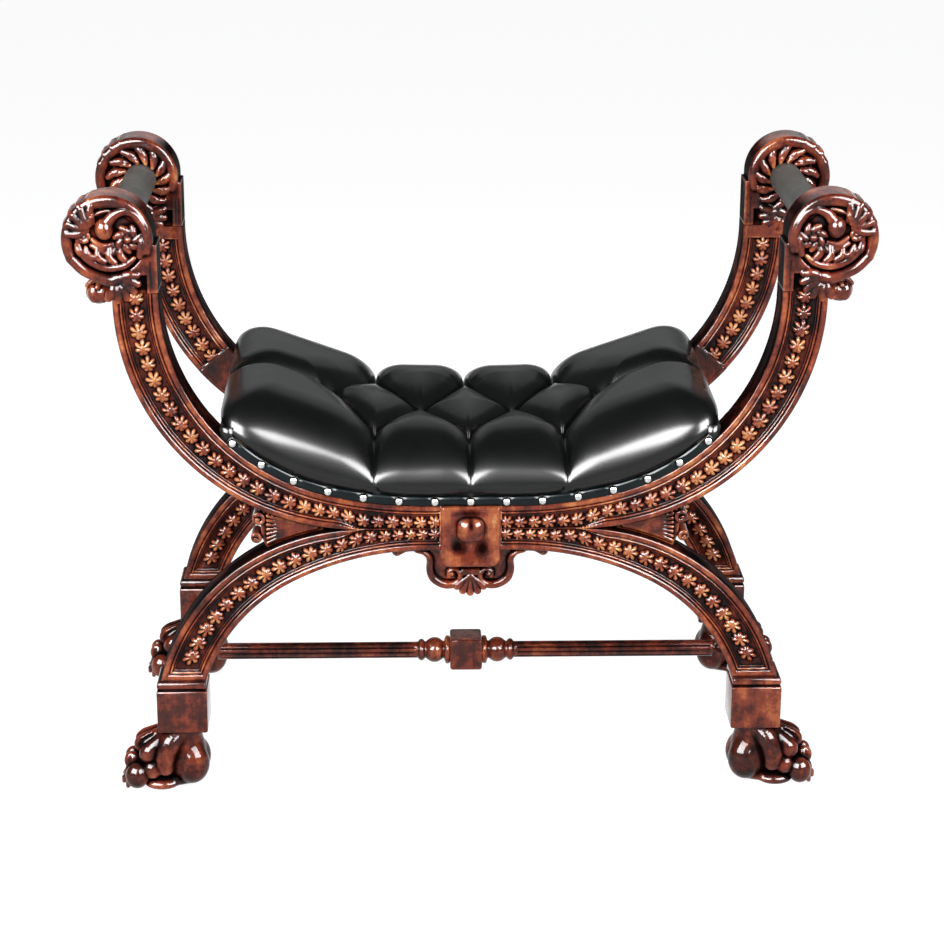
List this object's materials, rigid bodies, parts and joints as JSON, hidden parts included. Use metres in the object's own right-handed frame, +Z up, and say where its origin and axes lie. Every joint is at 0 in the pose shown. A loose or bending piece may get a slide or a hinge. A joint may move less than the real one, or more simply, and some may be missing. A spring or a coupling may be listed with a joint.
{
  "type": "upholstered bench",
  "caption": "Carved X-frame bench with curved arms that end in scroll heads, paw feet, a turned stretcher, leather-covered arm rails and a curved, button-tufted leather seat.",
  "frame": {"origin": "on the floor, under the middle of the bench", "axes": "+X to the right along the bench, +Y from front to back, +Z up"},
  "size_m": [1.05, 0.476, 0.829],
  "materials": {
    "carved_mahogany": "red-brown mahogany, darkened in the carving, glossy varnish",
    "dowel_beech": "raw beech",
    "seat_frame_wood": "raw hardwood",
    "seat_plywood": "bent plywood, raw",
    "seat_leather": "black leather with a soft gloss",
    "rail_leather": "grey-black leather, satin",
    "trim_leather": "glossy dark trim, gathered at each nail",
    "nail_pewter": "polished pewter"
  },
  "bodies": {
    "root": {"hub_front": "carved_mahogany", "hub_rear": "carved_mahogany", "hub_boss_front": "carved_mahogany", "hub_boss_rear": "carved_mahogany", "apron_front": "carved_mahogany", "apron_rear": "carved_mahogany", "arm_front_left": "carved_mahogany", "arm_front_right": "carved_mahogany", "arm_rear_left": "carved_mahogany", "arm_rear_right": "carved_mahogany", "leg_front_left": "carved_mahogany", "leg_front_right": "carved_mahogany", "leg_rear_left": "carved_mahogany", "leg_rear_right": "carved_mahogany", "spandrel_front_left": "carved_mahogany", "spandrel_front_right": "carved_mahogany", "spandrel_rear_left": "carved_mahogany", "spandrel_rear_right": "carved_mahogany", "scroll_front_left": "carved_mahogany", "scroll_front_right": "carved_mahogany", "scroll_rear_left": "carved_mahogany", "scroll_rear_right": "carved_mahogany", "bud_front_left": "carved_mahogany", "bud_front_right": "carved_mahogany", "bud_rear_left": "carved_mahogany", "bud_rear_right": "carved_mahogany", "foot_block_front_left": "carved_mahogany", "foot_block_front_right": "carved_mahogany", "foot_block_rear_left": "carved_mahogany", "foot_block_rear_right": "carved_mahogany", "paw_front_left": "carved_mahogany", "paw_front_right": "carved_mahogany", "paw_rear_left": "carved_mahogany", "paw_rear_right": "carved_mahogany", "frame_dowels_front": "dowel_beech", "frame_dowels_rear": "dowel_beech", "cross_stretcher_left": "carved_mahogany", "cross_stretcher_right": "carved_mahogany", "long_stretcher": "carved_mahogany", "arm_rail_core_left": "dowel_beech", "arm_rail_core_right": "dowel_beech", "arm_rail_leather_left": "rail_leather", "arm_rail_leather_right": "rail_leather", "seat_bearer_middle": "seat_frame_wood", "seat_bearer_left": "seat_frame_wood", "seat_bearer_right": "seat_frame_wood", "seat_bearer_end_left": "seat_frame_wood", "seat_bearer_end_right": "seat_frame_wood", "seat_bearer_dowels": "dowel_beech", "seat_deck": "seat_plywood", "seat_cushion": "seat_leather", "tuft_buttons": "seat_leather", "trim_band_front": "trim_leather", "trim_band_rear": "trim_leather", "trim_nails_front": "nail_pewter", "trim_nails_rear": "nail_pewter"}
  },
  "joints": []
}
